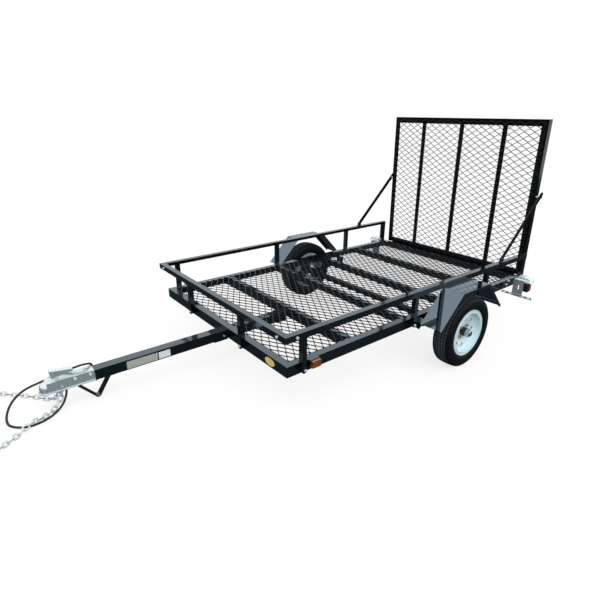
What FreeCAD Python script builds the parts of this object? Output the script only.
"""Utility trailer: single axle, expanded-mesh deck, angle-iron rail and a ramp gate.

Lengths are in millimetres. Each piece is modelled in the deck's frame: X forward with
0 at the deck's front edge, Y to the left with 0 on the centre line, Z up with 0 on top
of the deck frame. The gate, the wheels and the struts have frames of their own, at
their hinges. At the end every piece is placed as the trailer parks: nose down, with
the bent foot under its tongue on the floor at Z = 0.
"""
import FreeCAD, Part
import math
import operator
import os

import Sketcher
from FreeCAD import Placement, Rotation, Vector

DIMENSIONS = (
    # name, millimetres unless the words say otherwise, what it is
    ("deck_length", 2508, "deck frame, front face to rear face"),
    ("deck_width", 1524, "deck frame, over the side sills"),
    ("frame_depth", 68, "upright leg of the frame angle"),
    ("frame_flange", 51, "flat leg of the frame angle"),
    ("frame_wall", 5, "thickness of the frame angle"),
    ("crossmember_count", 4, "cross-members between front and rear, a count"),
    ("crossmember_depth", 50, "upright leg of a cross-member"),
    ("crossmember_flange", 44, "flat leg of a cross-member"),
    ("crossmember_wall", 4, "thickness of a cross-member"),
    ("mesh_long", 84, "long way of a mesh diamond"),
    ("mesh_short", 52.5, "short way of a mesh diamond"),
    ("strand_width", 4.2, "width of a mesh strand"),
    ("strand_depth", 2.3, "thickness of a mesh strand"),
    ("mesh_inset", 43, "deck mesh edge inside the frame's outer face"),
    ("tongue_size", 63.5, "side of the square tongue tube"),
    ("tongue_wall", 4.8, "wall of the tongue tube"),
    ("tongue_reach", 884, "tongue's front end ahead of the deck"),
    ("tongue_bracket_length", 100, "bracket plates that hold the tongue, along it"),
    ("tongue_bracket_wall", 4, "thickness of the bracket plates"),
    ("coupler_grip", 87, "length of tongue inside the coupler"),
    ("coupler_wall", 3.4, "thickness of the coupler's pressed sheet"),
    ("coupler_depth", 61, "coupler, top to bottom"),
    ("coupler_taper_start", 100, "where the coupler starts to narrow, ahead of the tongue"),
    ("ball_reach", 156, "ball's centre ahead of the tongue's end"),
    ("ball_socket_radius", 26, "bore that takes the ball"),
    ("dome_radius", 34, "outside of the dome over the ball"),
    ("coupler_lip", 6, "turned-out edge round the coupler's foot"),
    ("latch_reach", 127, "latch channel's front end ahead of the tongue's end"),
    ("latch_length", 112, "latch channel above the coupler"),
    ("latch_front_top", 57, "top of the latch's front end above the coupler"),
    ("latch_front_foot", 13, "lower edge of the latch's front end above the coupler"),
    ("latch_rear_top", 39, "top of the latch's rear end above the coupler"),
    ("latch_rear_foot", 27, "lower edge of the latch's rear end above the coupler"),
    ("latch_stem_radius", 11, "stem that carries the latch"),
    ("latch_width", 34, "latch channel, over its sides"),
    ("chain_bolt_reach", 84, "chain bolt ahead of the tongue's end"),
    ("chain_bolt_rise", 17, "chain bolt above the coupler's foot"),
    ("chain_bolt_radius", 4, "bolt that carries the safety chains"),
    ("side_bolt_radius", 8, "six-sided heads of the coupler's side bolts, to a corner"),
    ("side_bolt_drop", 18, "side bolts below the coupler's top"),
    ("foot_reach", 794, "bend of the foot ahead of the deck"),
    ("foot_drop", 248, "underside of the foot's bend below the deck"),
    ("foot_rear_reach", 714, "rear arm's top end ahead of the deck"),
    ("foot_front_reach", 893, "front arm's top end ahead of the deck"),
    ("foot_tab", 26, "flat end of each arm, under the tongue"),
    ("foot_width", 45, "foot strap's width"),
    ("foot_thickness", 6, "foot strap's thickness"),
    ("foot_bend_radius", 12, "foot's bend at the middle of the strap"),
    ("rail_height", 202, "top of the rail above the deck"),
    ("rail_leg", 38, "each leg of the rail angle"),
    ("rail_wall", 4, "thickness of the rail angle"),
    ("post_size", 32, "square rail posts"),
    ("post_drop", 58, "post's lower end below the deck's top"),
    ("end_post_size", 40, "rear side post along the trailer"),
    ("end_post_drop", 14, "rear side post's lower end below the deck's top"),
    ("post_front_setback", 98, "front side post's centre behind the deck's front"),
    ("post_middle_setback", 1060, "second side post's centre"),
    ("post_rear_setback", 1930, "third side post's centre"),
    ("front_post_spacing", 660, "between the two front posts' centres"),
    ("fender_gap", 38, "fender's inner edge outside the frame"),
    ("fender_width", 165, "fender across"),
    ("fender_height", 174, "top of the fender above the deck"),
    ("fender_top_length", 320, "flat top of the fender"),
    ("fender_foot_length", 752, "fender over its two lower ends"),
    ("fender_foot_drop", 47, "fender's lower ends below the deck's top"),
    ("fender_sheet", 2.5, "fender sheet"),
    ("fender_lip", 22, "lip turned down along the outer edge"),
    ("axle_setback", 1490, "axle behind the deck's front"),
    ("axle_drop", 169, "axle's centre below the deck's top"),
    ("axle_size", 40, "side of the square axle beam"),
    ("axle_length", 1690, "axle beam without its spindles"),
    ("spindle_radius", 13, "spindle that the hub turns on"),
    ("spindle_length", 50, "spindle outside the beam"),
    ("spring_spread", 640, "between the eyes of a leaf spring"),
    ("spring_rise", 34, "eyes above the middle of a leaf spring"),
    ("leaf_width", 44, "spring leaf across"),
    ("leaf_thickness", 6, "spring leaf"),
    ("leaf_count", 3, "leaves in a spring, a count"),
    ("spring_inset", 36, "spring's centre inside the frame's outer face"),
    ("wheel_spread", 1779, "between the middles of the two tyres"),
    ("tyre_radius", 264, "tyre's outer radius"),
    ("tyre_width", 135, "tyre's section width"),
    ("rim_radius", 152, "rim's bead seat"),
    ("rim_flange", 21, "rim flange above the bead seat"),
    ("rim_width", 116, "rim over its flanges"),
    ("rim_sheet", 3.2, "rim sheet"),
    ("rim_slots", 8, "slots round the wheel disc, a count"),
    ("hub_radius", 33, "hub barrel"),
    ("hub_length", 92, "hub barrel along the axle"),
    ("hub_flange_radius", 68, "hub flange that carries the nuts"),
    ("nut_circle_radius", 50.8, "circle of the wheel nuts"),
    ("wheel_nuts", 4, "nuts on a wheel, a count"),
    ("running_clearance", 0.06, "radial play of a turning fit"),
    ("gate_width", 1500, "gate over its stiles"),
    ("gate_height", 1265, "gate from its bottom rail to its top rail"),
    ("gate_leg", 52, "each leg of the gate's angle"),
    ("gate_wall", 3.4, "thickness of the gate's angle"),
    ("gate_bar_leg", 42, "each leg of the three inner bars"),
    ("gate_bar_spacing", 404, "between the inner bars"),
    ("gate_lean", 1.5, "forward lean of the gate against the deck, degrees"),
    ("hinge_setback", 29, "hinge behind the deck"),
    ("hinge_drop", 38, "hinge below the deck's top"),
    ("gate_setback", 29, "gate's front face behind the hinge"),
    ("gate_rise", 23, "gate's lower edge above the hinge"),
    ("hinge_pin_radius", 8, "hinge pin"),
    ("hinge_tube_radius", 13, "hinge tube on the frame"),
    ("hinge_tube_length", 70, "hinge tube across the trailer"),
    ("hinge_spacing", 1180, "between the two hinges"),
    ("hinge_ear", 6, "thickness of the gate's hinge ears"),
    ("strut_inset", 388, "strut's lower pivot ahead of the deck's rear"),
    ("strut_rise", 25, "strut's lower pivot above the rail"),
    ("strut_width", 33, "strut bar across its flat side"),
    ("strut_thickness", 8, "strut bar"),
    ("strut_overshoot", 32, "strut beyond its upper pin"),
    ("strut_gate_height", 700, "strut's upper pin above the hinge, along the gate"),
    ("strut_pin_radius", 5, "pins through the strut's ends"),
    ("marker_setback", 184, "side marker's centre behind the deck's front"),
    ("marker_length", 62, "side marker lens"),
    ("marker_height", 42, "side marker lens, top to bottom"),
    ("lamp_inset", 68, "tail lamp's bracket ahead of the deck's rear"),
    ("lamp_size", 72, "tail lamp across and high"),
    ("lamp_outset", 53, "tail lamp's inner side outside the frame"),
    ("lamp_drop", 30, "top of the tail lamp below the deck's top"),
    ("lamp_base", 22, "black base of the tail lamp, along the trailer"),
    ("lamp_depth", 60, "tail lamp's base and lens, along the trailer"),
    ("bracket_width", 88, "lamp bracket's plate outside the frame"),
    ("bracket_drop", 160, "lower end of the lamp bracket below the deck's top"),
    ("bracket_sheet", 3, "sheet of the lamp bracket"),
    ("hood_rise", 12, "top of the lamp bracket's hood above the deck's top"),
    ("hood_outset", 137, "outer end of the hood outside the frame"),
    ("hood_depth", 22, "hood behind the bracket's plate"),
    ("plate_bar_length", 262, "licence-plate bar across the trailer"),
    ("plate_bar_outset", 175, "outer end of the licence-plate bar outside the frame"),
    ("plate_bar_height", 20, "licence-plate bar, top to bottom"),
    ("plate_bar_slots", 5, "slots in the licence-plate bar, a count"),
    ("chain_wire", 8, "chain wire, its thickness"),
    ("link_length", 47, "chain link over its ends"),
    ("link_width", 29.5, "chain link over its sides"),
    ("cable_diameter", 12, "wiring harness cable"),
)

SOLID_GAP = 0.3  # between pieces that lie on each other without being joined


class Size:
    """A length with the expression that ties it to the sheet."""

    def __init__(self, value, text):
        self.value = float(value)
        self.text = text

    def __float__(self):
        return self.value

    def __add__(self, other):
        return combine(self, "+", other)

    def __radd__(self, other):
        return combine(other, "+", self)

    def __sub__(self, other):
        return combine(self, "-", other)

    def __rsub__(self, other):
        return combine(other, "-", self)

    def __mul__(self, other):
        return combine(self, "*", other)

    def __rmul__(self, other):
        return combine(other, "*", self)

    def __truediv__(self, other):
        return combine(self, "/", other)

    def __neg__(self):
        return combine(0, "-", self)


OPERATIONS = {"+": operator.add, "-": operator.sub, "*": operator.mul, "/": operator.truediv}


def as_size(length):
    """A plain number as a Size of its own."""
    return length if isinstance(length, Size) else Size(length, repr(float(length)))


def combine(left, sign, right):
    """left sign right, as a number and as an expression."""
    left, right = as_size(left), as_size(right)
    value = OPERATIONS[sign](left.value, right.value)
    return Size(value, f"({left.text} {sign} {right.text})")


class Sheet:
    """The document's spreadsheet: each dimension by its alias, as a Size."""

    def __init__(self, document, rows):
        self.cells = document.addObject("Spreadsheet::Sheet", "dims")
        for number, (alias, value, meaning) in enumerate(rows, start=1):
            self.cells.set(f"A{number}", alias)
            self.cells.set(f"B{number}", str(value))
            self.cells.set(f"C{number}", meaning)
            self.cells.setAlias(f"B{number}", alias)
        document.recompute()

    def __getattr__(self, alias):
        return Size(self.cells.get(alias), "dims." + alias)


doc = FreeCAD.newDocument("utility_trailer")
dims = Sheet(doc, DIMENSIONS)
nodes = []  # (document object, frame it is modelled in)

DECK, GATE, FLOOR = "deck", "gate", "floor"


# ---------------------------------------------------------------- ways of making

def bind(item, prop, length):
    """Ties one property to the sheet."""
    item.setExpression(prop, as_size(length).text)


def node(item, label, frame=DECK):
    """Names a finished piece and notes the frame it is modelled in."""
    item.Label = label
    nodes.append((item, frame))
    return item


def ordered(first, second):
    """Two lengths, the lower one first."""
    return (first, second) if float(first) <= float(second) else (second, first)


def block(x, y, z):
    """A box between two planes along each axis."""
    item = doc.addObject("Part::Box", "block")
    for prop, axis, (low, high) in zip(("Length", "Width", "Height"), "xyz", (x, y, z)):
        low, high = ordered(low, high)
        bind(item, prop, high - low)
        bind(item, "Placement.Base." + axis, low)
    return item


ROD_TURNS = {"x": Rotation(Vector(0, 1, 0), 90), "y": Rotation(Vector(1, 0, 0), -90), "z": Rotation()}


def rod(axis, start, end, across, radius):
    """A cylinder along an axis from start to end, at two places across it."""
    start, end = ordered(start, end)
    item = doc.addObject("Part::Cylinder", "rod")
    item.Placement = Placement(Vector(), ROD_TURNS[axis])
    bind(item, "Radius", radius)
    bind(item, "Height", end - start)
    bind(item, "Placement.Base." + axis, start)
    for other, place in zip([name for name in "xyz" if name != axis], across):
        bind(item, "Placement.Base." + other, place)
    return item


def hexagon(across, up, radius):
    """Six corners about a place, radius away from it."""
    turns = [math.radians(60 * step) for step in range(6)]
    return [(across + radius * math.cos(turn), up + radius * math.sin(turn)) for turn in turns]


def ball(centre, radius):
    """A sphere."""
    item = doc.addObject("Part::Sphere", "ball")
    bind(item, "Radius", radius)
    for axis, place in zip("xyz", centre):
        bind(item, "Placement.Base." + axis, place)
    return item


def fused(pieces):
    """Pieces joined into one solid."""
    item = doc.addObject("Part::MultiFuse", "joined")
    item.Shapes = pieces
    item.Refine = True
    return item


def without(base, tools):
    """A piece with others cut out of it."""
    item = doc.addObject("Part::Cut", "cut")
    item.Base = base
    item.Tool = tools[0] if len(tools) == 1 else fused(tools)
    item.Refine = True
    return item


def together(pieces):
    """Like pieces that share a node and don't touch."""
    item = doc.addObject("Part::Compound", "group")
    item.Links = pieces
    return item


def feature(shape, name="shaped"):
    """A piece whose shape is worked out in code."""
    item = doc.addObject("Part::Feature", name)
    item.Shape = shape
    return item


PLANES = {"x": ("YZ_Plane", 1), "y": ("XZ_Plane", -1), "z": ("XY_Plane", 1)}


def origin_feature(body, role):
    """One of a body's own origin planes or axes."""
    return next(item for item in body.Origin.OriginFeatures if item.Role == role)


def outline(body, plane, loops, offset=0):
    """A sketch of closed loops of corners, every corner tied to the sheet."""
    sketch = body.newObject("Sketcher::SketchObject", "outline")
    sketch.AttachmentSupport = (origin_feature(body, plane), [""])
    sketch.MapMode = "FlatFace"
    bind(sketch, "AttachmentOffset.Base.z", offset)
    for corners in loops:
        places = [Vector(float(across), float(up), 0) for across, up in corners]
        first = sketch.GeometryCount
        for number, place in enumerate(places):
            following = places[(number + 1) % len(places)]
            sketch.addGeometry(Part.LineSegment(place, following), False)
        for number, corner in enumerate(corners):
            line = first + number
            following = first + (number + 1) % len(corners)
            sketch.addConstraint(Sketcher.Constraint("Coincident", line, 2, following, 1))
            for kind, axis, length in zip(("DistanceX", "DistanceY"), (-2, -1), corner):
                if isinstance(length, Size):
                    index = sketch.addConstraint(Sketcher.Constraint(kind, -1, 1, line, 1, float(length)))
                    bind(sketch, f"Constraints[{index}]", length)
                elif length == 0:
                    sketch.addConstraint(Sketcher.Constraint("PointOnObject", line, 1, axis))
                else:
                    sketch.addConstraint(Sketcher.Constraint(kind, -1, 1, line, 1, float(length)))
    return sketch


def bar(run, corners, start, end, hollow=()):
    """A section along an axis: corners across it, in the order of the other two axes."""
    start, end = ordered(start, end)
    plane, way = PLANES[run]
    body = doc.addObject("PartDesign::Body", "bar")
    loops = [corners, hollow] if hollow else [corners]
    pad = body.newObject("PartDesign::Pad", "length")
    pad.Profile = outline(body, plane, loops, way * as_size(start))
    pad.Reversed = way < 0
    bind(pad, "Length", end - start)
    body.Tip = pad
    return body


def turned(corners):
    """A body turned about the Y axis from corners given as (along Y, radius)."""
    body = doc.addObject("PartDesign::Body", "turned")
    sketch = outline(body, "YZ_Plane", [corners])
    turn = body.newObject("PartDesign::Revolution", "turn")
    turn.Profile = sketch
    turn.ReferenceAxis = (sketch, ["H_Axis"])
    turn.Angle = 360
    body.Tip = turn
    return body


def pair(low, high, side):
    """A span across the trailer, on the left for side 1 and on the right for side -1."""
    return ordered(side * as_size(low), side * as_size(high))


def edge_line(points, bends, shift):
    """One edge of a bent strap: its middle line moved sideways, straight runs joined by arcs."""
    edges = []
    runs = [(after - before).normalize() for before, after in zip(points, points[1:])]
    start = points[0] + runs[0].cross(Vector(0, 1, 0)) * shift
    for corner, bend, before, after in zip(points[1:], bends, runs, runs[1:]):
        turn = before.getAngle(after)
        way = 1 if before.cross(after).y < 0 else -1
        reach = bend * math.tan(turn / 2)
        centre = corner - before * reach + before.cross(Vector(0, 1, 0)) * bend * way
        first = corner - before * reach + before.cross(Vector(0, 1, 0)) * shift
        last = corner + after * reach + after.cross(Vector(0, 1, 0)) * shift
        middle = centre + (corner - centre).normalize() * (bend - shift * way)
        edges.append(Part.LineSegment(start, first).toShape())
        edges.append(Part.Arc(first, middle, last).toShape())
        start = last
    edges.append(Part.LineSegment(start, points[-1] + runs[-1].cross(Vector(0, 1, 0)) * shift).toShape())
    return edges


def ribbon(points, thickness, low, high, bends):
    """A bent strap: its middle line in X and Z, its thickness, its span along Y and each bend's radius."""
    middle = [Vector(float(x), float(low), float(z)) for x, z in points]
    shift = float(thickness) / 2
    radii = [float(bend) for bend in bends]
    one, other = edge_line(middle, radii, shift), edge_line(middle, radii, -shift)
    ends = [
        Part.LineSegment(one[-1].Vertexes[-1].Point, other[-1].Vertexes[-1].Point).toShape(),
        Part.LineSegment(other[0].Vertexes[0].Point, one[0].Vertexes[0].Point).toShape(),
    ]
    loop = Part.Wire(Part.__sortEdges__(one + other + ends))
    return Part.Face(loop).extrude(Vector(0, float(high) - float(low), 0))


def strand(start, end, width, depth):
    """One straight mesh strand between two places in its plane."""
    run = end - start
    solid = Part.makeBox(run.Length, width, depth, Vector(0, -width / 2, 0))
    angle = math.degrees(math.atan2(run.y, run.x))
    solid.Placement = Placement(start, Rotation(Vector(0, 0, 1), angle))
    return solid


def lattice(short_span, long_span):
    """Expanded mesh: two layers of strands that cross, clipped to a rectangle from 0, 0."""
    short, long = float(dims.mesh_short), float(dims.mesh_long)
    width, depth = float(dims.strand_width), float(dims.strand_depth)
    margin = width / 2
    solids = []
    for layer, way in enumerate((1, -1)):
        last = math.ceil(short_span / short + long_span / long)
        for step in range(-last, last + 1):
            ends = []
            for across in (margin, long_span - margin):
                ends.append((short * (step - way * across / long), across))
            (u0, v0), (u1, v1) = ends
            low = max(0.0, min(1.0, (margin - u0) / (u1 - u0)))
            high = max(0.0, min(1.0, (short_span - margin - u0) / (u1 - u0)))
            low, high = min(low, high), max(low, high)
            start = Vector(u0 + (u1 - u0) * low, v0 + (v1 - v0) * low, layer * (depth + SOLID_GAP))
            end = Vector(u0 + (u1 - u0) * high, v0 + (v1 - v0) * high, start.z)
            if (end - start).Length > short:
                solids.append(strand(start, end, width, depth))
    return Part.makeCompound(solids)


# ---------------------------------------------------------------- deck frame

half = dims.deck_width / 2
sill_inner = half - dims.frame_wall
flange_inner = half - dims.frame_flange
bay = dims.deck_length / (dims.crossmember_count + 1)


def side_sill(label, side):
    """Angle iron along one side: one leg upright outside, the other flat on top."""
    corners = (
        (side * half, 0), (side * half, -dims.frame_depth), (side * sill_inner, -dims.frame_depth),
        (side * sill_inner, -dims.frame_wall), (side * flange_inner, -dims.frame_wall),
        (side * flange_inner, 0),
    )
    node(bar("x", corners, -dims.deck_length, 0), label)


def coped_angle(face, towards, depth, flange, wall):
    """Angle iron across the frame: its flat leg is cut back to clear the sills' flat legs."""
    upright = block((face, face + towards * wall), (-sill_inner, sill_inner), (-depth, -dims.frame_wall))
    flat = block((face, face + towards * flange), (-flange_inner, flange_inner), (-wall, 0))
    corner = block((face, face + towards * wall), (-flange_inner, flange_inner), (-dims.frame_wall, 0))
    return fused([upright, flat, corner])


side_sill("frame_left", 1)
side_sill("frame_right", -1)
frame_angle = (dims.frame_depth, dims.frame_flange, dims.frame_wall)
node(coped_angle(as_size(0), -1, *frame_angle), "frame_front")
node(coped_angle(-dims.deck_length, 1, *frame_angle), "frame_rear")

crossmembers = []
for number in range(1, int(float(dims.crossmember_count)) + 1):
    depth = dims.frame_depth if number == 1 else dims.crossmember_depth
    face = -number * bay
    crossmembers.append(coped_angle(face, -1, depth, dims.crossmember_flange, dims.crossmember_wall))
node(together(crossmembers), "crossmembers")

inset = float(dims.mesh_inset)
deck_mesh = lattice(float(dims.deck_length) - 2 * inset, float(dims.deck_width) - 2 * inset)
deck_mesh.Placement = Placement(Vector(inset - float(dims.deck_length), inset - float(half), 0), Rotation())
node(feature(Part.makeCompound([deck_mesh])), "deck_mesh")

# ---------------------------------------------------------------- tongue and foot

tongue_half = dims.tongue_size / 2
tongue_top = -dims.frame_depth
tongue_foot = tongue_top - dims.tongue_size
tongue_rear = -bay - dims.crossmember_flange


def square(centre, half_side):
    """Corners of a square about Y = 0 and a height."""
    ways = ((-1, -1), (1, -1), (1, 1), (-1, 1))
    return tuple((way * half_side, centre + up * half_side) for way, up in ways)


tongue_middle = tongue_top - tongue_half
node(
    bar("x", square(tongue_middle, tongue_half), tongue_rear, dims.tongue_reach,
        square(tongue_middle, tongue_half - dims.tongue_wall)),
    "tongue",
)


def tongue_bracket(start, end):
    """Two side plates and a bottom plate that clasp the tongue under the frame."""
    outer = tongue_half + dims.tongue_bracket_wall
    foot = tongue_foot - dims.tongue_bracket_wall
    left = block((start, end), (tongue_half, outer), (foot, tongue_top))
    right = block((start, end), (-outer, -tongue_half), (foot, tongue_top))
    bottom = block((start, end), (-outer, outer), (foot, tongue_foot))
    return fused([left, right, bottom])


bracket_ahead = dims.tongue_bracket_length * 0.45
node(
    together([
        tongue_bracket(bracket_ahead - dims.tongue_bracket_length, bracket_ahead),
        tongue_bracket(tongue_rear, tongue_rear + dims.tongue_bracket_length * 0.7),
    ]),
    "tongue_brackets",
)

foot_middle = tongue_foot - dims.foot_thickness / 2
foot_bend = float(dims.foot_bend_radius)
foot_centre_z = foot_bend + float(dims.foot_thickness) / 2 - float(dims.foot_drop)
foot_centre = Vector(float(dims.foot_reach), 0, foot_centre_z)


def foot_arm(reach):
    """Where the middle line of an arm from the foot's bend would meet the tongue's underside."""
    return Vector(float(reach), 0, float(foot_middle)) - foot_centre


def foot_tip():
    """The corner where the two arms' middle lines cross, below the bend's centre."""
    directions = []
    for reach, side in ((dims.foot_rear_reach, -1), (dims.foot_front_reach, 1)):
        arm = foot_arm(reach)
        swing = math.asin(foot_bend / arm.Length)
        angle = math.atan2(arm.z, arm.x) + side * swing
        touch = foot_centre + Vector(math.sin(angle), 0, -math.cos(angle)) * foot_bend * side
        directions.append((touch, Vector(math.cos(angle), 0, math.sin(angle))))
    (first, along), (second, onward) = directions
    share = ((second - first).cross(onward)).y / along.cross(onward).y
    return first + along * share


tip = foot_tip()
foot_line = (
    (dims.foot_rear_reach - dims.foot_tab, foot_middle), (dims.foot_rear_reach, foot_middle), (tip.x, tip.z),
    (dims.foot_front_reach, foot_middle), (dims.foot_front_reach - dims.foot_tab, foot_middle),
)
tab_bend = dims.foot_thickness * 0.75
foot_bends = (tab_bend, dims.foot_bend_radius, tab_bend)
node(
    feature(ribbon(foot_line, dims.foot_thickness, -dims.foot_width / 2, dims.foot_width / 2, foot_bends)),
    "foot",
)

# ---------------------------------------------------------------- coupler

coupler_rear = dims.tongue_reach - dims.coupler_grip
coupler_top = tongue_top + dims.coupler_wall
coupler_foot = coupler_top - dims.coupler_depth
coupler_half = tongue_half + dims.coupler_wall
ball_x = dims.tongue_reach + dims.ball_reach
cup_radius = dims.dome_radius
ball_z = coupler_top - cup_radius
taper_x = dims.tongue_reach + dims.coupler_taper_start


def wedge(spread, rear, low, high):
    """The coupler's plan, wider or narrower by spread: straight, then narrowing to the cup."""
    corners = (
        (rear, -(coupler_half + spread)), (taper_x, -(coupler_half + spread)),
        (ball_x, -(cup_radius + spread)),
        (ball_x, cup_radius + spread), (taper_x, coupler_half + spread), (rear, coupler_half + spread),
    )
    return bar("z", corners, low, high)


side_bolt_places = (coupler_rear + 22, dims.tongue_reach + 15)
side_bolt_z = coupler_top - dims.side_bolt_drop
top_slot_places = (coupler_rear + 36, dims.tongue_reach + 30)
top_slot_length = 24
top_slot_span = (as_size(-14.5), as_size(-7.5))


def side_bolts():
    """Heads of the bolts that hold the coupler to the tongue, on both its sides."""
    heads = []
    for x in side_bolt_places:
        for side in (1, -1):
            corners = hexagon(x, side_bolt_z, dims.side_bolt_radius)
            heads.append(bar("y", corners, *pair(coupler_half - 1, coupler_half + 5, side)))
    return heads


def top_slots():
    """Slots pressed through the coupler's top and the round hole ahead of them."""
    sheet_span = (tongue_top, coupler_top + 1)
    cuts = [rod("z", *sheet_span, (top_slot_places[1] + 62, as_size(0)), 5)]
    for x in top_slot_places:
        along = (x - top_slot_length / 2, x + top_slot_length / 2)
        cuts.append(block(along, top_slot_span, sheet_span))
    return cuts


def coupler():
    """Pressed sheet: a channel over the tongue's end that narrows to a domed ball cup."""
    lip = dims.coupler_lip
    lip_half = coupler_half + lip
    lip_top = coupler_foot + dims.coupler_wall
    outside = fused([
        wedge(as_size(0), coupler_rear, coupler_foot, coupler_top),
        wedge(lip, coupler_rear, coupler_foot, lip_top),
        rod("z", coupler_foot, ball_z, (ball_x, 0), cup_radius),
        rod("z", coupler_foot, lip_top, (ball_x, 0), cup_radius + lip),
        ball((ball_x, 0, ball_z), cup_radius),
    ] + side_bolts())
    below = coupler_foot - 1
    cavity_end = ball_x - cup_radius
    return without(outside, [
        block((coupler_rear - 1, cavity_end), (-tongue_half, tongue_half), (below, tongue_top)),
        rod("z", ball_z - cup_radius - 1, ball_z, (ball_x, 0), dims.ball_socket_radius),
        ball((ball_x, 0, ball_z), dims.ball_socket_radius),
        rod("y", -lip_half, lip_half, (chain_bolt_x, chain_bolt_z), dims.chain_bolt_radius),
    ] + top_slots())


chain_bolt_x = dims.tongue_reach + dims.chain_bolt_reach
chain_bolt_z = coupler_foot + dims.chain_bolt_rise
node(coupler(), "coupler")

latch_front = dims.tongue_reach + dims.latch_reach
latch_rear = latch_front - dims.latch_length
latch_half = dims.latch_width / 2
stem_x = latch_front - 14


def latch_profile(thinner, beyond):
    """Side view of the latch channel, its roof lowered by its sheet and its open ends run on."""
    return (
        (latch_front + beyond, coupler_top + dims.latch_front_foot - beyond),
        (latch_front + beyond, coupler_top + dims.latch_front_top - thinner),
        (latch_rear - beyond, coupler_top + dims.latch_rear_top - thinner),
        (latch_rear - beyond, coupler_top + dims.latch_rear_foot - beyond),
    )


wall = dims.coupler_wall
latch_solid = bar("y", latch_profile(0, 0), -latch_half, latch_half)
latch_hollow = bar("y", latch_profile(wall, 2), wall - latch_half, latch_half - wall)
latch_hole = rod(
    "y", -latch_half - 1, latch_half + 1, (latch_front - 13, coupler_top + dims.latch_front_top - 14), 4)
stem_top = coupler_top + dims.latch_front_top - wall / 2 - 3
latch_stem = rod("z", coupler_top, stem_top, (stem_x, as_size(0)), dims.latch_stem_radius)
latch_pin = rod("y", wall / 2 - latch_half, latch_half - wall / 2, (stem_x - 4, coupler_top + 26), 4)
latch = fused([without(latch_solid, [latch_hollow, latch_hole]), latch_stem, latch_pin])
node(latch, "coupler_latch")

head = dims.chain_bolt_radius * 1.75
chain_bolt = fused([
    rod("y", -coupler_half - 4, coupler_half + 4, (chain_bolt_x, chain_bolt_z), dims.chain_bolt_radius),
    rod("y", coupler_half, coupler_half + 5, (chain_bolt_x, chain_bolt_z), head),
    rod("y", -coupler_half - 5, -coupler_half, (chain_bolt_x, chain_bolt_z), head),
])
node(chain_bolt, "chain_bolt")

# ---------------------------------------------------------------- rail and posts

post_outer = half + dims.post_size
rail_outer = post_outer + dims.rail_wall
rail_under = dims.rail_height - dims.rail_wall
rail_front = dims.post_size + dims.rail_wall


def side_rail(label, side):
    """Angle iron on the side posts: a flat leg on top of them and a leg down their outside."""
    leg_foot = dims.rail_height - dims.rail_leg
    leg_edge = side * (rail_outer - dims.rail_leg)
    corners = (
        (side * rail_outer, dims.rail_height), (side * rail_outer, leg_foot), (side * post_outer, leg_foot),
        (side * post_outer, rail_under), (leg_edge, rail_under), (leg_edge, dims.rail_height),
    )
    node(bar("x", corners, -dims.deck_length, rail_front), label)


side_rail("rail_left", 1)
side_rail("rail_right", -1)
rail_upright = block(
    (dims.post_size, rail_front), (-post_outer, post_outer), (dims.rail_height - dims.rail_leg, rail_under))
rail_flat = block(
    (rail_front - dims.rail_leg, rail_front), (dims.rail_leg - rail_outer, rail_outer - dims.rail_leg),
    (rail_under, dims.rail_height))
node(fused([rail_upright, rail_flat]), "rail_front")


posts = []
post_half = dims.post_size / 2
side_post_places = (-dims.post_front_setback, -dims.post_middle_setback, -dims.post_rear_setback)
for side in (1, -1):
    end_span = (-dims.deck_length, dims.end_post_size - dims.deck_length)
    posts.append(block(end_span, pair(half, post_outer, side), (-dims.end_post_drop, rail_under)))
    for place in side_post_places:
        across = pair(half, post_outer, side)
        along = (place - post_half, place + post_half)
        upright = block(along, across, (post_half - dims.post_drop, rail_under))
        toe = rod("y", *across, (place, post_half - dims.post_drop), post_half)
        posts.append(fused([upright, toe]))
    place = side * dims.front_post_spacing / 2
    upright = block(
        (0, dims.post_size), (place - post_half, place + post_half), (post_half - dims.post_drop, rail_under))
    toe = rod("x", 0, dims.post_size, (place, post_half - dims.post_drop), post_half)
    posts.append(fused([upright, toe]))
node(together(posts), "rail_posts")

# ---------------------------------------------------------------- fenders

axle_x, axle_z = -dims.axle_setback, -dims.axle_drop
fender_inner = half + dims.fender_gap
fender_outer = fender_inner + dims.fender_width


def fender(side):
    """Three flat panels of folded sheet with a lip turned down along the outer edge."""
    sheet = float(dims.fender_sheet)
    top, foot = float(dims.fender_height), -float(dims.fender_foot_drop)
    half_top, half_foot = float(dims.fender_top_length) / 2, float(dims.fender_foot_length) / 2
    middle = -float(dims.axle_setback)

    def line(depth):
        """The middle line of a fold of this depth, held under the fender's outer surface."""
        slope = math.hypot(half_foot - half_top, top - foot) / (top - foot)
        lean = (half_foot - half_top) / (top - foot)
        drop = depth / 2
        inward = drop * slope
        shoulder = half_top - inward + drop * lean
        ends = half_foot - inward
        return ((middle + ends, foot), (middle + shoulder, top - drop),
                (middle - shoulder, top - drop), (middle - ends, foot))

    inner, outer = float(fender_inner), float(fender_outer)
    fold = 2 * sheet
    panels = ribbon(line(sheet), sheet, inner, outer, (fold, fold))
    lip_depth = float(dims.fender_lip)
    lip = ribbon(line(lip_depth), lip_depth, outer - sheet, outer, (lip_depth / 2 + fold - sheet / 2,) * 2)
    trim = Part.makeBox(4 * half_foot, 4 * float(dims.fender_width), 400,
                        Vector(middle - 2 * half_foot, 0, foot - 400))
    solid = panels.fuse(lip).cut(trim).removeSplitter()
    return solid if side > 0 else solid.mirror(Vector(), Vector(0, 1, 0))


for label, side in (("fender_left", 1), ("fender_right", -1)):
    node(feature(fender(side)), label)

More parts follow.
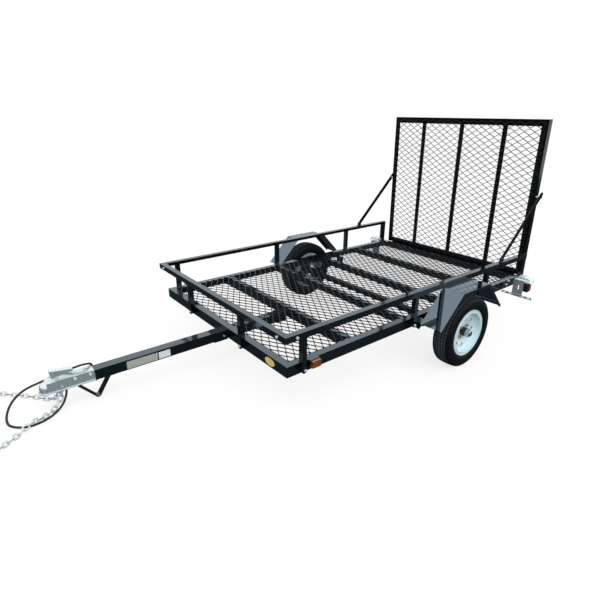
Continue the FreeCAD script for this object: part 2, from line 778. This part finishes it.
slope_run = (dims.fender_foot_length - dims.fender_top_length) / 2
slope_rise = dims.fender_height + dims.fender_foot_drop
slope = math.atan2(float(slope_rise), float(slope_run))
strap_thickness = 5
strap_depth = float(dims.fender_sheet) + strap_thickness / 2
fender_brackets = []
for way in (1, -1):
    down = Vector(way * math.cos(slope), 0, -math.sin(slope))
    inward = Vector(-way * math.sin(slope), 0, -math.cos(slope))
    end = Vector(float(axle_x + way * dims.fender_foot_length / 2), 0, -float(dims.fender_foot_drop))
    lower = end + inward * strap_depth - down * 8
    upper = lower - down * 38
    for side in (1, -1):
        low, high = pair(half, fender_outer - dims.fender_sheet - SOLID_GAP, side)
        edge = Vector(0, float(low), 0) - inward * strap_thickness / 2
        through = inward * strap_thickness
        start, end = upper + edge, lower + edge
        loop = [start, end, end + through, start + through, start]
        strap_run = Vector(0, float(high) - float(low), 0)
        fender_brackets.append(Part.Face(Part.makePolygon(loop)).extrude(strap_run))
node(feature(Part.makeCompound(fender_brackets)), "fender_brackets")

# ---------------------------------------------------------------- axle and springs

axle_half = dims.axle_size / 2
beam_end = dims.axle_length / 2
spindle_end = beam_end + dims.spindle_length
node(
    fused([
        block((axle_x - axle_half, axle_x + axle_half), (-beam_end, beam_end),
              (axle_z - axle_half, axle_z + axle_half)),
        rod("y", -spindle_end, spindle_end, (axle_x, axle_z), dims.spindle_radius),
    ]),
    "axle",
)

spring_y = float(half - dims.spring_inset)
spring_eye_radius = 14.0
spring_bolt_radius = 6.0
spring_middle = float(axle_z + axle_half + dims.leaf_thickness * (dims.leaf_count - 0.5))


def leaf(span, lower, side):
    """One spring leaf: a shallow arc of short straight runs, higher at its ends."""
    half_spread, rise = float(dims.spring_spread) / 2, float(dims.spring_rise)
    bend = (half_spread ** 2 + rise ** 2) / (2 * rise) + lower
    thick = float(dims.leaf_thickness) / 2
    y = side * spring_y - float(dims.leaf_width) / 2
    centre = Vector(float(axle_x), y, spring_middle - lower + bend)
    reach = math.asin(span / 2 / bend)
    corners = []
    for radius, turns in ((bend + thick, (-1, 0, 1)), (bend - thick, (1, 0, -1))):
        for turn in turns:
            corners.append(centre + Vector(math.sin(turn * reach), 0, -math.cos(turn * reach)) * radius)
    outer, inner = corners[:3], corners[3:]
    edges = [
        Part.Arc(*outer).toShape(), Part.LineSegment(outer[2], inner[0]).toShape(),
        Part.Arc(*inner).toShape(), Part.LineSegment(inner[2], outer[0]).toShape(),
    ]
    return Part.Face(Part.Wire(edges)).extrude(Vector(0, float(dims.leaf_width), 0))


springs = []
for side in (1, -1):
    leaves = []
    for number in range(int(float(dims.leaf_count))):
        share = 1 - 0.28 * number
        leaves.append(leaf(float(dims.spring_spread) * share, number * float(dims.leaf_thickness), side))
    bores = []
    for way in (1, -1):
        place = Vector(float(axle_x) + way * float(dims.spring_spread) / 2,
                       side * spring_y - float(dims.leaf_width) / 2, spring_middle + float(dims.spring_rise))
        leaves.append(Part.makeCylinder(spring_eye_radius, float(dims.leaf_width), place, Vector(0, 1, 0)))
        bore_radius = spring_bolt_radius + SOLID_GAP
        bores.append(Part.makeCylinder(bore_radius, float(dims.leaf_width), place, Vector(0, 1, 0)))
    springs.append(leaves[0].multiFuse(leaves[1:]).cut(bores).removeSplitter())
node(feature(Part.makeCompound(springs)), "leaf_springs")

hanger_wall = 5
spring_in = half - dims.spring_inset - dims.leaf_width / 2
spring_out = half - dims.spring_inset + dims.leaf_width / 2
eye_z = spring_middle + dims.spring_rise
hangers = []
for side in (1, -1):
    for way in (1, -1):
        x = axle_x + way * dims.spring_spread / 2
        top = -dims.frame_depth
        plate_span = pair(spring_in - SOLID_GAP - hanger_wall, half, side)
        pieces = [block((x - 25, x + 25), plate_span, (top - hanger_wall, top))]
        for near in (spring_in - SOLID_GAP - hanger_wall, spring_out + SOLID_GAP):
            span = pair(near, near + hanger_wall, side)
            pieces.append(block((x - 18, x + 18), span, (eye_z, top)))
            pieces.append(rod("y", *span, (x, eye_z), 18))
        bolt = pair(spring_in - SOLID_GAP - hanger_wall - 6, spring_out + SOLID_GAP + hanger_wall + 6, side)
        pieces.append(rod("y", *bolt, (x, eye_z), spring_bolt_radius))
        hangers.append(fused(pieces))
node(together(hangers), "spring_hangers")

clamps = []
for side in (1, -1):
    inner, outer = spring_in, spring_out
    low = axle_z - axle_half
    high = spring_middle + dims.leaf_thickness / 2
    plate = block((axle_x - 45, axle_x + 45), pair(inner - 14, outer + 14, side), (low - 8, low))
    pieces = [plate]
    for along in (-1, 1):
        x = axle_x + along * (axle_half + 5.5)
        for near in (inner - 6, outer + 6):
            pieces.append(rod("z", low - 20, high + 5, (x, side * near), 5))
        pieces.append(block((x - 5, x + 5), pair(inner - 11, outer + 11, side), (high + 4.5, high + 12)))
    clamps.append(fused(pieces))
node(together(clamps), "axle_clamps")

# ---------------------------------------------------------------- wheels

tyre_half = dims.tyre_width / 2
rim_half = dims.rim_width / 2
bead = dims.rim_radius
tread = dims.tyre_radius
tyre_corners = (
    # from the middle of the tread out to the bead: along the axle from the tyre's side, radius
    (tyre_half - tyre_half, tread), (tyre_half - 26, tread - 2), (tyre_half - 11, tread - 11),
    (tyre_half - 1, bead + 74), (tyre_half - 1, bead + 54), (rim_half - 5.6 - SOLID_GAP, bead + 26),
    (rim_half - 5.6 - SOLID_GAP, bead),
)
flange = bead + dims.rim_flange
sheet = dims.rim_sheet
drop = bead - 20


def tyre_ring(corners, sides=60):
    """A tyre of flat faces: a half section, mirrored, carried round the axle in equal steps."""
    half_section = [(float(along), float(radius)) for along, radius in corners]
    section = half_section + [(-along, radius) for along, radius in half_section[:0:-1]]
    rings = []
    for step in range(sides):
        turn = 2 * math.pi * step / sides
        rings.append([Vector(r * math.cos(turn), along, r * math.sin(turn)) for along, r in section])
    faces = []
    for number, ring in enumerate(rings):
        following = rings[(number + 1) % sides]
        for place in range(len(section)):
            onward = (place + 1) % len(section)
            corners = [ring[place], ring[onward], following[onward], following[place], ring[place]]
            faces.append(Part.Face(Part.makePolygon(corners)))
    solid = Part.Solid(Part.Shell(faces))
    if solid.Volume < 0:
        solid.reverse()
    return solid


def rim_profile():
    """Rim section, outer surface from the inner flange to the outer one and back inside."""
    outside = (
        (-rim_half, flange), (-rim_half + 5.6, flange), (-rim_half + 5.6, bead - SOLID_GAP),
        (-rim_half + 36, bead - SOLID_GAP), (-rim_half + 46, drop), (rim_half - 46, drop),
        (rim_half - 36, bead - SOLID_GAP), (rim_half - 5.6, bead - SOLID_GAP), (rim_half - 5.6, flange),
        (rim_half, flange),
    )
    inside = (
        (rim_half, bead - sheet), (rim_half - 34, bead - sheet), (rim_half - 46 + sheet / 2, drop - sheet),
        (-rim_half + 46 - sheet / 2, drop - sheet), (-rim_half + 34, bead - sheet), (-rim_half, bead - sheet),
    )
    return outside + inside


disc_y = 4  # the wheel disc's mounting face, outside the middle of the rim
disc = 4.5
disc_profile = (
    (disc_y, dims.hub_radius + 0.5), (disc_y, dims.nut_circle_radius + 22),
    (disc_y + 16, dims.nut_circle_radius + 44), (disc_y + 8, drop - sheet), (disc_y + 8 + disc, drop - sheet),
    (disc_y + 16 + disc, dims.nut_circle_radius + 46), (disc_y + disc, dims.nut_circle_radius + 20),
    (disc_y + disc, dims.hub_radius + 0.5),
)


def slotted_disc():
    """The pressed wheel disc: a dished plate with slots set round it by a polar pattern."""
    body = turned(disc_profile)
    middle = (dims.nut_circle_radius + drop) / 2 + 12
    corners = ((-4, middle - 13), (4, middle - 13), (15, middle + 11), (-15, middle + 11))
    slot = body.newObject("PartDesign::Pocket", "slot")
    slot.Profile = outline(body, "XZ_Plane", [corners])
    slot.Type = "ThroughAll"
    slot.Midplane = True
    around = body.newObject("PartDesign::PolarPattern", "slots")
    around.Originals = [slot]
    around.Axis = (origin_feature(body, "Y_Axis"), [""])
    around.Angle = 360
    bind(around, "Occurrences", dims.rim_slots)
    body.Tip = around
    return body


hub_half = dims.hub_length / 2
bore = dims.spindle_radius + dims.running_clearance
cap_radius = dims.hub_radius - 6
hub_start = disc_y - 44
hub_end = hub_start + dims.hub_length
spindle_tip = spindle_end - dims.wheel_spread / 2
hub_corners = (
    (hub_start, bore), (hub_start, dims.hub_radius), (disc_y - 9, dims.hub_radius + 4),
    (disc_y - 9, dims.hub_flange_radius), (disc_y, dims.hub_flange_radius), (disc_y, dims.hub_radius),
    (hub_end, dims.hub_radius - 2), (hub_end, cap_radius), (hub_end + 20, cap_radius),
    (hub_end + 26, cap_radius - 8), (hub_end + 26, 0), (spindle_tip + 2, 0), (spindle_tip + 2, bore),
)


def hub():
    """Hub casting with its flange, grease cap and nuts."""
    pieces = [turned(hub_corners)]
    count = int(float(dims.wheel_nuts))
    for number in range(count):
        angle = math.radians(360 * (number + 0.5) / count)
        x = dims.nut_circle_radius * math.cos(angle)
        z = dims.nut_circle_radius * math.sin(angle)
        pieces.append(rod("y", disc_y - 9, disc_y + disc + SOLID_GAP + 18, (x, z), 6))
        pieces.append(bar("y", hexagon(x, z, 10.5), disc_y + disc + SOLID_GAP, disc_y + disc + 14))
    return fused(pieces)


def wheel(name):
    """The three pieces of one wheel, in the wheel's own frame, its outer side at +Y."""
    tyre = feature(tyre_ring(tyre_corners))
    rim = fused([turned(rim_profile()), slotted_disc()])
    nut_holes = []
    count = int(float(dims.wheel_nuts))
    for number in range(count):
        angle = math.radians(360 * (number + 0.5) / count)
        x = dims.nut_circle_radius * math.cos(angle)
        z = dims.nut_circle_radius * math.sin(angle)
        nut_holes.append(rod("y", disc_y - 1, disc_y + disc + 1, (x, z), 6.5))
    frame = "wheel_" + name
    node(tyre, "tyre_" + name, frame)
    node(without(rim, nut_holes), "rim_" + name, frame)
    node(hub(), "hub_" + name, frame)


wheel("left")
wheel("right")

# ---------------------------------------------------------------- gate, in the frame of its hinge

gate_half = dims.gate_width / 2
gate_face = -dims.gate_setback
gate_back = gate_face - dims.gate_leg
gate_low = dims.gate_rise
gate_high = gate_low + dims.gate_height


def gate_stile(side):
    """Angle iron: one leg in the gate's plane, one leg back along its outer edge."""
    outer, inner = side * gate_half, side * (gate_half - dims.gate_leg)
    corners = (
        (gate_face, outer), (gate_face, inner), (gate_face - dims.gate_wall, inner),
        (gate_face - dims.gate_wall, side * (gate_half - dims.gate_wall)),
        (gate_back, side * (gate_half - dims.gate_wall)), (gate_back, outer),
    )
    return bar("z", corners, gate_low, gate_high)


def gate_rail(edge, towards):
    """Angle iron across the gate, coped between the stiles."""
    inner = gate_half - dims.gate_wall
    coped = gate_half - dims.gate_leg
    behind = gate_face - dims.gate_wall
    face = block((behind, gate_face), (-coped, coped), (edge, edge + towards * dims.gate_leg))
    flat = block((gate_back, behind), (-inner, inner), (edge, edge + towards * dims.gate_wall))
    return fused([face, flat])


def gate_bar(y):
    """A lighter angle between the gate's bottom and top rails."""
    low, high = gate_low + dims.gate_leg, gate_high - dims.gate_leg
    leg, wall = dims.gate_bar_leg, dims.gate_wall
    face = block((gate_face - wall, gate_face), (y - leg / 2, y + leg / 2), (low, high))
    back = block((gate_face - leg, gate_face - wall), (y - leg / 2, y - leg / 2 + wall), (low, high))
    return fused([face, back])


node(together([gate_stile(1), gate_stile(-1)]), "gate_stiles", GATE)
node(gate_rail(gate_high, -1), "gate_top", GATE)
gate_bars = [gate_bar(way * dims.gate_bar_spacing) for way in (-1, 0, 1)]
node(together(gate_bars), "gate_bars", GATE)

mesh_margin = 12
gate_mesh = lattice(float(dims.gate_height) - 2 * mesh_margin, float(dims.gate_width) - 2 * mesh_margin)
gate_mesh.Placement = Placement(
    Vector(float(gate_face), float(gate_half) - mesh_margin, float(gate_low) + mesh_margin),
    Rotation(Vector(0, 0, 1), Vector(0, -1, 0), Vector(1, 0, 0), "XYZ"))
node(feature(Part.makeCompound([gate_mesh])), "gate_mesh", GATE)


def hinge_places():
    """The middles of the two hinges across the trailer."""
    return [way * dims.hinge_spacing / 2 for way in (-1, 1)]


def gate_hinge_part(y):
    """One hinge pin with the two ears that hold it to the gate's bottom rail."""
    reach = dims.hinge_tube_length / 2 + 1
    pieces = [rod("y", y - reach - dims.hinge_ear, y + reach + dims.hinge_ear, (0, 0), dims.hinge_pin_radius)]
    for way in (-1, 1):
        span = (y + way * reach, y + way * (reach + dims.hinge_ear))
        pieces.append(rod("y", *span, (0, 0), dims.hinge_tube_radius - 1))
        pieces.append(block((gate_face, 6), span, (-6, dims.hinge_tube_radius - 1)))
        pieces.append(block((gate_face, gate_face + 14), span, (-6, gate_low + mesh_margin - 2)))
    return pieces


gate_bottom = [gate_rail(gate_low, 1)]
for place in hinge_places():
    gate_bottom += gate_hinge_part(place)
node(fused(gate_bottom), "gate_bottom", GATE)

hinge_tubes = []
for place in hinge_places():
    span = (place - dims.hinge_tube_length / 2, place + dims.hinge_tube_length / 2)
    hinge_x, hinge_z = -dims.deck_length - dims.hinge_setback, -dims.hinge_drop
    shell = fused([
        rod("y", *span, (hinge_x, hinge_z), dims.hinge_tube_radius),
        block((hinge_x, -dims.deck_length), span, (hinge_z - 8, hinge_z + 8)),
    ])
    pin_bore = dims.hinge_pin_radius + dims.running_clearance
    hinge_tubes.append(without(shell, [rod("y", span[0] - 1, span[1] + 1, (hinge_x, hinge_z), pin_bore)]))
node(together(hinge_tubes), "hinge_tubes")

# ---------------------------------------------------------------- struts, in the frame of their lower pivot

strut_inner = half + 14
strut_outer = strut_inner + dims.strut_thickness
pivot_z = dims.rail_height + dims.strut_rise
strut_x = dims.strut_inset - dims.deck_length
lean = math.radians(float(dims.gate_lean))
upper_x = float(-dims.deck_length - dims.hinge_setback) + float(dims.strut_gate_height) * math.sin(lean) - 45
upper_z = float(-dims.hinge_drop) + float(dims.strut_gate_height) * math.cos(lean)
strut_run = Vector(upper_x - float(strut_x), 0, upper_z - float(pivot_z))
strut_length = strut_run.Length
strut_angle = math.degrees(math.atan2(strut_run.z, strut_run.x))


def strut(side):
    """Flat bar along +X with round ends, its lower pivot at the origin and a pin near its tip."""
    radius = dims.strut_width / 2
    tip = strut_length + dims.strut_overshoot
    y = pair(strut_inner, strut_outer, side)
    flat = fused([
        block((0, tip), y, (-radius, radius)),
        rod("y", *y, (0, 0), radius),
        rod("y", *y, (tip, 0), radius),
    ])
    bored = without(flat, [
        rod("y", y[0] - 1, y[1] + 1, (0, 0), dims.strut_pin_radius + dims.running_clearance),
    ])
    out = pair(strut_inner, strut_outer + 14, side)
    return fused([bored, rod("y", *out, (strut_length, 0), dims.strut_pin_radius)])


node(strut(1), "strut_left", "strut")
node(strut(-1), "strut_right", "strut")

ear = 5
ear_half = dims.strut_width / 2 - 2
seat = 3
brackets = []
for side in (1, -1):
    x = strut_x
    pieces = []
    for near in (strut_inner - 1 - ear, strut_outer + 1):
        span = pair(near, near + ear, side)
        pieces.append(block((x - ear_half, x + ear_half), span, (dims.rail_height, pivot_z)))
        pieces.append(rod("y", *span, (x, pivot_z), ear_half))
    ears_inner, ears_outer = strut_inner - 1 - ear, strut_outer + 1 + ear
    seat_span = (x - 24, x + 24)
    seat_top = dims.rail_height + seat
    pieces.append(rod("y", *pair(ears_inner, ears_outer + 4, side), (x, pivot_z), dims.strut_pin_radius))
    pieces.append(block(seat_span, pair(ears_inner, rail_outer + 4, side), (dims.rail_height, seat_top)))
    pieces.append(block(seat_span, pair(rail_outer, rail_outer + 4, side),
                        (dims.rail_height - dims.rail_leg, seat_top)))
    brackets.append(fused(pieces))
node(together(brackets), "strut_brackets")

studs = []
for side in (1, -1):
    stud_span = pair(gate_half, strut_inner - 2, side)
    studs.append(rod("y", *stud_span, (-45, dims.strut_gate_height), dims.strut_pin_radius + 4))
node(together(studs), "strut_studs", GATE)

# ---------------------------------------------------------------- lamps

marker_x = -dims.marker_setback
marker_z = -24
lenses, bases = [], []
for side in (1, -1):
    x = (marker_x - dims.marker_length / 2, marker_x + dims.marker_length / 2)
    z = (marker_z - dims.marker_height / 2, marker_z + dims.marker_height / 2)
    bases.append(block((x[0] - 5, x[1] + 5), pair(half, half + 18, side), (z[0] - 5, z[1] + 5)))
    lenses.append(block(x, pair(half + 18, half + 38, side), z))
node(together(bases), "marker_bases")
node(together(lenses), "marker_lenses")

lamp_x = dims.lamp_inset - dims.deck_length
lamp_top = -dims.lamp_drop
lamp_low = lamp_top - dims.lamp_size
lens_rear = lamp_x - dims.lamp_depth
lens_bevel = 9
slot_low, slot_high, slot_radius = -92, -62, 5


def lamp_hood(side):
    """Sheet bent over the lamp's top in a rounded arch, open below."""
    near, far, top = half + 6, half + dims.hood_outset, dims.hood_rise
    sheet = dims.bracket_sheet
    outside = ((near, -18), (near + 4, 2), (near + 18, top), (far - 18, top), (far - 4, 4), (far, -10))
    inside = (
        (far - sheet, -10), (far - sheet - 3.4, 2), (far - 19, top - sheet), (near + 19, top - sheet),
        (near + sheet + 3.6, 0), (near + sheet, -18),
    )
    corners = [(side * across, up) for across, up in outside + inside]
    return bar("x", corners, lamp_x - dims.hood_depth, lamp_x + sheet)


def lamp_bracket(side):
    """The plate that carries a tail lamp, with its slot, its flange on the frame and its hood."""
    front = lamp_x + dims.bracket_sheet
    slot_y = side * (half + dims.bracket_width * 0.57)
    plate = block((lamp_x, front), pair(half, half + dims.bracket_width, side),
                  (-dims.bracket_drop, dims.hood_rise - 1))
    across = ordered(slot_y - slot_radius, slot_y + slot_radius)
    slotted = without(plate, [
        rod("x", lamp_x - 1, front + 1, (slot_y, slot_low), slot_radius),
        rod("x", lamp_x - 1, front + 1, (slot_y, slot_high), slot_radius),
        block((lamp_x - 1, front + 1), across, (slot_low, slot_high)),
    ])
    flange_span = (lamp_x - dims.hood_depth, front)
    flange_sheet = pair(half, half + dims.bracket_sheet, side)
    flange_piece = block(flange_span, flange_sheet, (8 - dims.frame_depth, -8))
    return fused([slotted, flange_piece, lamp_hood(side)])


def lamp_lens(side):
    """The red lens: a block with its rear edges bevelled, over the lamp's base."""
    start = lamp_x - dims.lamp_base
    corners = (
        (start, lamp_top), (start, lamp_low), (lens_rear + lens_bevel, lamp_low),
        (lens_rear, lamp_low + lens_bevel), (lens_rear, lamp_top - lens_bevel),
        (lens_rear + lens_bevel, lamp_top),
    )
    return bar("y", corners, *lamp_span(side))


def lamp_span(side):
    """How far a tail lamp reaches across the trailer."""
    return pair(half + dims.lamp_outset, half + dims.lamp_outset + dims.lamp_size, side)


node(together([lamp_bracket(side) for side in (1, -1)]), "lamp_brackets")
base_along = (lamp_x - dims.lamp_base, lamp_x)
lamp_bases = [block(base_along, lamp_span(side), (lamp_low, lamp_top)) for side in (1, -1)]
node(together(lamp_bases), "lamp_bodies")
node(together([lamp_lens(side) for side in (1, -1)]), "lamp_lenses")

bar_front = lamp_x + dims.bracket_sheet
bar_rear = bar_front + dims.bracket_sheet
bar_end = half + dims.plate_bar_outset
bar_low = 2 - dims.bracket_drop
slot_pitch = dims.plate_bar_length / dims.plate_bar_slots
bar_slots = []
for number in range(int(float(dims.plate_bar_slots))):
    middle = bar_end - slot_pitch * (number + 0.5)
    slot_span = (middle - slot_pitch * 0.3, middle + slot_pitch * 0.3)
    slot_rise = (bar_low + dims.plate_bar_height * 0.35, bar_low + dims.plate_bar_height * 0.65)
    bar_slots.append(block((bar_front - 1, bar_rear + 1), slot_span, slot_rise))
bar_across = (bar_end - dims.plate_bar_length, bar_end)
plain_bar = block((bar_front, bar_rear), bar_across, (bar_low, bar_low + dims.plate_bar_height))
node(without(plain_bar, bar_slots), "plate_bracket")

# ---------------------------------------------------------------- how it parks

foot_radius = foot_bend + float(dims.foot_thickness) / 2
foot_place = (foot_centre.x, foot_centre.z)
axle_place = (float(axle_x), float(axle_z))
span = math.hypot(foot_place[0] - axle_place[0], axle_place[1] - foot_place[1])
swing = math.atan2(axle_place[1] - foot_place[1], foot_place[0] - axle_place[0])
pitch = math.asin((float(dims.tyre_radius) - foot_radius) / span) - swing
lift = float(dims.tyre_radius) + axle_place[0] * math.sin(pitch) - axle_place[1] * math.cos(pitch)
park = Placement(Vector(0, 0, lift), Rotation(Vector(0, 1, 0), math.degrees(pitch)))


def parked(x, y, z):
    """A place in the deck's frame, as it is when the trailer is parked."""
    return park.multVec(Vector(float(x), float(y), float(z)))


# ---------------------------------------------------------------- safety chains, on the floor

def link(length, width, wire):
    """A chain link of flat faces: a five-sided wire round a six-cornered loop in X and Y."""
    radius = wire / 2
    wide = width / 2 - radius
    end = wide * 0.72
    long = length / 2 - radius
    loop = [Vector(long, -end, 0), Vector(long, end, 0), Vector(0, wide, 0),
            Vector(-long, end, 0), Vector(-long, -end, 0), Vector(0, -wide, 0)]
    count, sides = len(loop), 5
    rings = []
    for number, place in enumerate(loop):
        before = (place - loop[number - 1]).normalize()
        after = (loop[(number + 1) % count] - place).normalize()
        along = (before + after).normalize()
        outward = along.cross(Vector(0, 0, 1))
        reach = radius / outward.dot(before.cross(Vector(0, 0, 1)))
        ring = []
        for step in range(sides):
            angle = 2 * math.pi * step / sides
            ring.append(place + outward * (reach * math.cos(angle)) + Vector(0, 0, radius * math.sin(angle)))
        rings.append(ring)
    faces = []
    for number, ring in enumerate(rings):
        following = rings[(number + 1) % count]
        for step in range(sides):
            onward = (step + 1) % sides
            corners = [ring[step], ring[onward], following[onward], following[step], ring[step]]
            faces.append(Part.Face(Part.makePolygon(corners)))
    solid = Part.Solid(Part.Shell(faces))
    if solid.Volume < 0:
        solid.reverse()
    return solid


def chain(route, pitch_length, shape, first_roll, last_roll):
    """Links set one after the other along a smooth route, each turned a quarter from the last."""
    curve = Part.BSplineCurve()
    curve.interpolate(route)
    floor_height = min(place.z for place in route)
    places = curve.toShape().discretize(Number=1500)
    samples = [Vector(place.x, place.y, max(place.z, floor_height)) for place in places]
    joints = [samples[0]]
    for place in samples:
        if (place - joints[-1]).Length >= pitch_length:
            joints.append(place)
    heading = Vector(route[-1].x - route[0].x, route[-1].y - route[0].y, 0).normalize()
    links = []
    for number, (start, end) in enumerate(zip(joints, joints[1:])):
        along = (end - start).normalize()
        flat = Vector(along.x, along.y, 0)
        ahead = heading if flat.Length < 0.5 else flat.normalize()
        up = along.cross(Vector(0, 0, 1).cross(ahead)).normalize()
        turn = Placement(Vector(), Rotation(along, up.cross(along).normalize(), up, "XYZ"))
        twist = min(number / CHAIN_TWIST_LINKS, 1)
        angle = first_roll + (last_roll - first_roll) * twist + 90 * (number % 2)
        one = shape.copy()
        one.Placement = Placement((start + end) * 0.5, Rotation()).multiply(turn).multiply(
            Placement(Vector(), Rotation(Vector(1, 0, 0), angle)))
        links.append(one)
    return links


QUARTER_TURN = 90  # degrees
CHAIN_TWIST_LINKS = 8  # links over which a chain turns from its bolt to how it lies
wire = float(dims.chain_wire)
link_shape = link(float(dims.link_length), float(dims.link_width), wire)
link_pitch = float(dims.link_length) - 2 * wire + 0.4
hook = parked(chain_bolt_x, 0, chain_bolt_z)


def lying_height(shape):
    """How high a link's middle is above the floor when it lies on its side at 45 degrees."""
    lowest = []
    for angle in (-45, 45, 135):
        rolled = shape.copy()
        rolled.Placement = Placement(Vector(), Rotation(Vector(1, 0, 0), angle))
        lowest.append(min(corner.Z for corner in rolled.Vertexes))
    return SOLID_GAP - min(lowest)


rest = lying_height(link_shape)
first_rise = float(dims.chain_bolt_radius) + SOLID_GAP - (float(dims.link_length) / 2 - wire) + link_pitch / 2
over = float(dims.cable_diameter) + 1.4
CHAIN_ROUTES = (
    # ahead of the chain bolt, sideways and height above it of each hanging place, then those
    # on the floor with how far each is lifted; the left chain crosses over the cable
    ("chain_left", 1, ((0, 15.5, first_rise), (0, 15.5, -26), (5, 18, -54), (24, 27, -88)),
     ((64, 56, 0), (120, 98, 0), (166, 131, over), (196, 154, over), (250, 194, 0), (318, 246, 0),
      (394, 300, 0), (462, 344, 0), (532, 384, 0))),
    ("chain_right", -1, ((0, 15.5, first_rise), (0, 15.5, -26), (4, 19, -54), (20, 38, -89)),
     ((56, 82, 0), (120, 150, 0), (190, 214, 0), (262, 282, 0), (330, 352, 0), (392, 420, 0), (446, 492, 0))),
)
for label, side, hanging, lying in CHAIN_ROUTES:
    route = [Vector(hook.x + x, side * y, hook.z + z) for x, y, z in hanging]
    route += [Vector(hook.x + x, side * y, rest + z) for x, y, z in lying]
    heading = math.degrees(math.atan2(route[-1].y - route[0].y, route[-1].x - route[0].x))
    links = chain(route, link_pitch, link_shape, heading - side * QUARTER_TURN, -side * QUARTER_TURN / 2)
    node(feature(Part.makeCompound(links)), label, FLOOR)

# ---------------------------------------------------------------- wiring harness, a free cord

CABLE_ROUTE = (
    # ahead of the tongue's end, sideways and height above the floor
    (-12, 14, 151), (34, 19, 144), (54, 23.5, 110), (60, 36, 72), (88, 58, 28), (142, 94, 7), (208, 132, 7),
    (278, 140, 7), (338, 96, 7), (342, 44, 10), (328, -6, 28), (302, -48, 56), (264, -60, 94),
    (222, -62, 120), (164, -62, 134), (110, -62, 150), (56, -50, 178), (6, -26, 193), (-34, -20, 204),
    (-68, -28, 200), (-98, -50, 186), (-112, -56, 150), (-115, -57, 112),
)


def tube(points, radius):
    """A round cord: straight runs joined by arcs as large as each pair of runs allows."""
    edges = []
    start = points[0]
    radii = []
    for before, corner, after in zip(points, points[1:], points[2:]):
        back, forth = before - corner, after - corner
        shorter = min(back.Length, forth.Length)
        back.normalize()
        forth.normalize()
        turn = math.pi - back.getAngle(forth)
        reach = 0.45 * shorter
        radii.append(reach / math.tan(turn / 2))
        first, last = corner + back * reach, corner + forth * reach
        bisector = (back + forth).normalize()
        middle = corner + bisector * (radii[-1] / math.cos(turn / 2) - radii[-1])
        edges.append(Part.LineSegment(start, first).toShape())
        edges.append(Part.Arc(first, middle, last).toShape())
        start = last
    edges.append(Part.LineSegment(start, points[-1]).toShape())
    path = Part.Wire(edges)
    ring = Part.Wire([Part.Circle(points[0], points[1] - points[0], radius).toShape()])
    solid = path.makePipeShell([ring], True, False)
    print("cord: length %.0f, tightest arc %.0f, volume against section times length %.4f" % (
        path.Length, min(radii), solid.Volume / (math.pi * radius ** 2 * path.Length)))
    return solid


mouth = parked(dims.tongue_reach, 0, 0)
cable_points = [Vector(mouth.x + x, y, z) for x, y, z in CABLE_ROUTE]
cable_radius = float(dims.cable_diameter) / 2
node(feature(tube(cable_points, cable_radius)), "harness_cable", FLOOR)

plug_start = cable_points[-1]
plug_run = (cable_points[-1] - cable_points[-2]).normalize()
plug = Part.makeBox(30, 26, 10, Vector(0, -13, -5))
for place in (-9, -3, 3, 9):
    plug = plug.fuse(Part.makeCylinder(2.6, 16, Vector(29, place, 0), Vector(1, 0, 0)))
plug_turn = Rotation(plug_run, Vector(0, 0, 1).cross(plug_run), Vector(0, 0, 1), "XZY")
plug.Placement = Placement(plug_start, plug_turn)
node(feature(Part.makeCompound([plug])), "harness_plug", FLOOR)

# ---------------------------------------------------------------- placing, checking and writing

CORD_NODES = ("harness_cable", "harness_plug")
hinge_place = Vector(float(-dims.deck_length - dims.hinge_setback), 0, -float(dims.hinge_drop))
half_spread = float(dims.wheel_spread) / 2
frames = {
    DECK: park,
    FLOOR: Placement(),
    GATE: park.multiply(Placement(hinge_place, Rotation(Vector(0, 1, 0), float(dims.gate_lean)))),
    "strut": park.multiply(Placement(Vector(float(strut_x), 0, float(pivot_z)),
                                     Rotation(Vector(0, 1, 0), -strut_angle))),
    "wheel_left": park.multiply(Placement(Vector(float(axle_x), half_spread, float(axle_z)), Rotation())),
    "wheel_right": park.multiply(Placement(Vector(float(axle_x), -half_spread, float(axle_z)),
                                           Rotation(Vector(0, 0, 1), 180))),
}

doc.recompute()
for item, frame in nodes:
    item.Placement = frames[frame]
doc.recompute()

whole = FreeCAD.BoundBox()
for item, frame in nodes:
    if item.Label not in CORD_NODES:
        whole.add(item.Shape.BoundBox)
shift = Placement(Vector(-whole.Center.x, -whole.Center.y, 0), Rotation())
for item, frame in nodes:
    item.Placement = shift.multiply(item.Placement)
doc.recompute()

for item in doc.Objects:
    if "Invalid" in item.State or "Error" in item.State:
        raise RuntimeError(f"{item.Name} ({item.Label}) failed: {item.State}")
labels = [item.Label for item, frame in nodes]
if len(set(labels)) != len(labels):
    raise RuntimeError("two pieces share a name")

os.makedirs("parts", exist_ok=True)
for item, frame in nodes:
    shape = item.Shape
    if shape.isNull() or not shape.isValid() or not shape.Solids:
        raise RuntimeError(f"{item.Label} has no valid solid")
    shape.exportStep(f"parts/{item.Label}.step")

print("pitch", round(math.degrees(pitch), 3), "shift", shift.Base, "lowest", round(whole.ZMin, 3))
print("box", whole)
for name, place in (
    ("axle", (axle_x, 0, axle_z)), ("hinge", tuple(hinge_place)), ("strut pivot", (strut_x, 0, pivot_z)),
    ("ball", (ball_x, 0, ball_z)), ("ball foot", (ball_x, 0, coupler_foot)),
):
    print(name, shift.multVec(parked(*place)))
